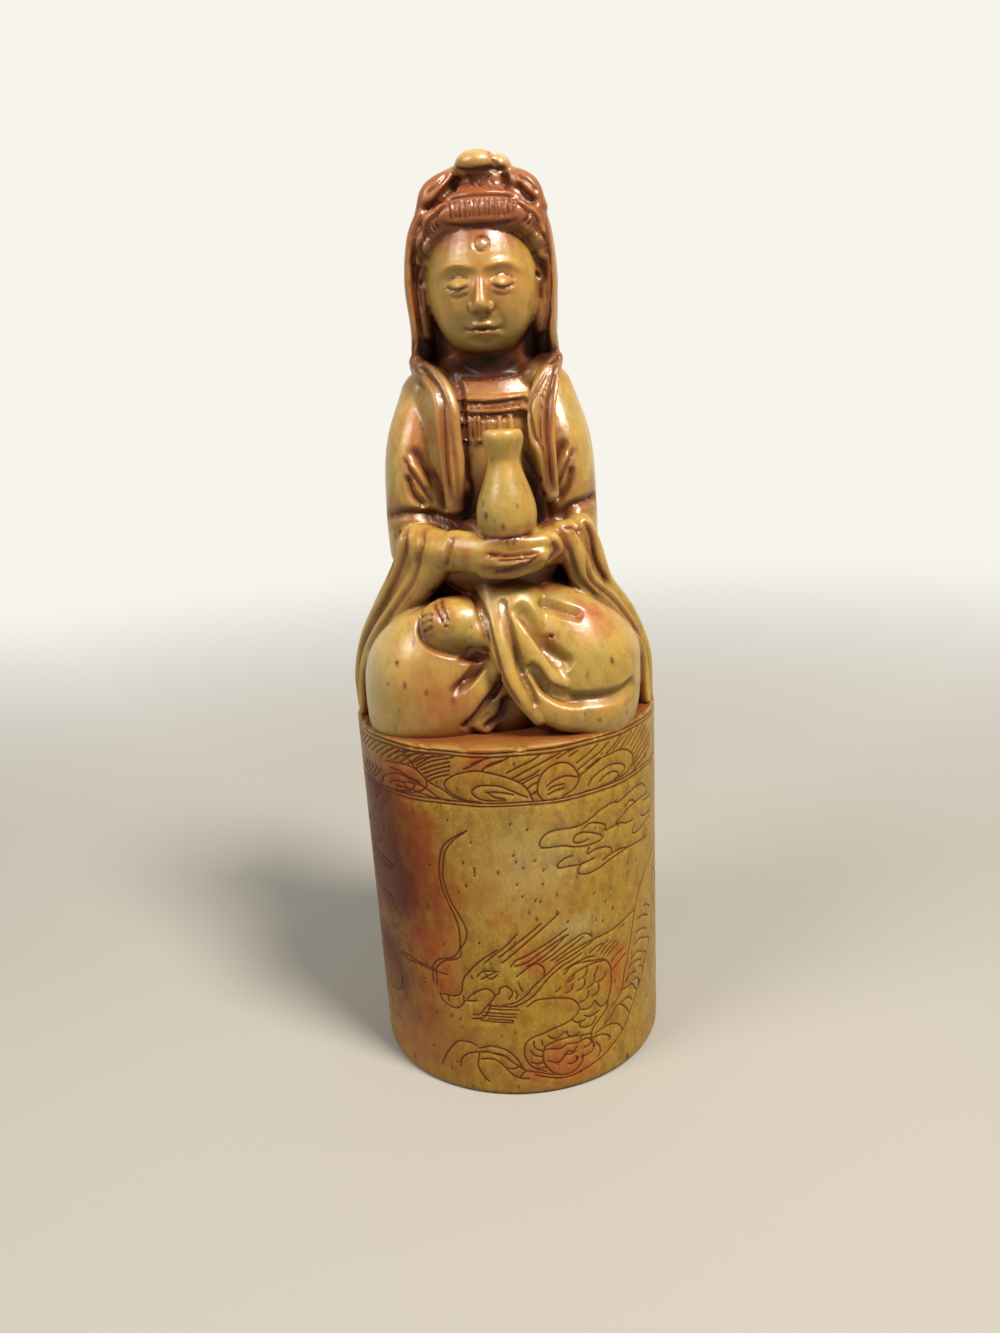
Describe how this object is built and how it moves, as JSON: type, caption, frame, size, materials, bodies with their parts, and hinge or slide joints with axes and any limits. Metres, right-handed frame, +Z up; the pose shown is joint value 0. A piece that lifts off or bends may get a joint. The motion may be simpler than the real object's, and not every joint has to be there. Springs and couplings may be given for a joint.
{
  "type": "carved stone seal",
  "caption": "Round soapstone seal block with a seated, hooded figure holding a vase as its carved finial; the flat underside is the seal face.",
  "frame": {"origin": "centre of the seal face, which is the flat underside the seal stands on", "axes": "+Z up along the block's axis; -Y is the front, where the figure faces; +X is the figure's left"},
  "size_m": [0.0464, 0.0464, 0.134],
  "materials": {
    "soapstone": "polished ochre soapstone with a waxy gloss and dark brown patina in the recesses"
  },
  "bodies": {
    "root": {"seal": "soapstone"}
  },
  "joints": []
}
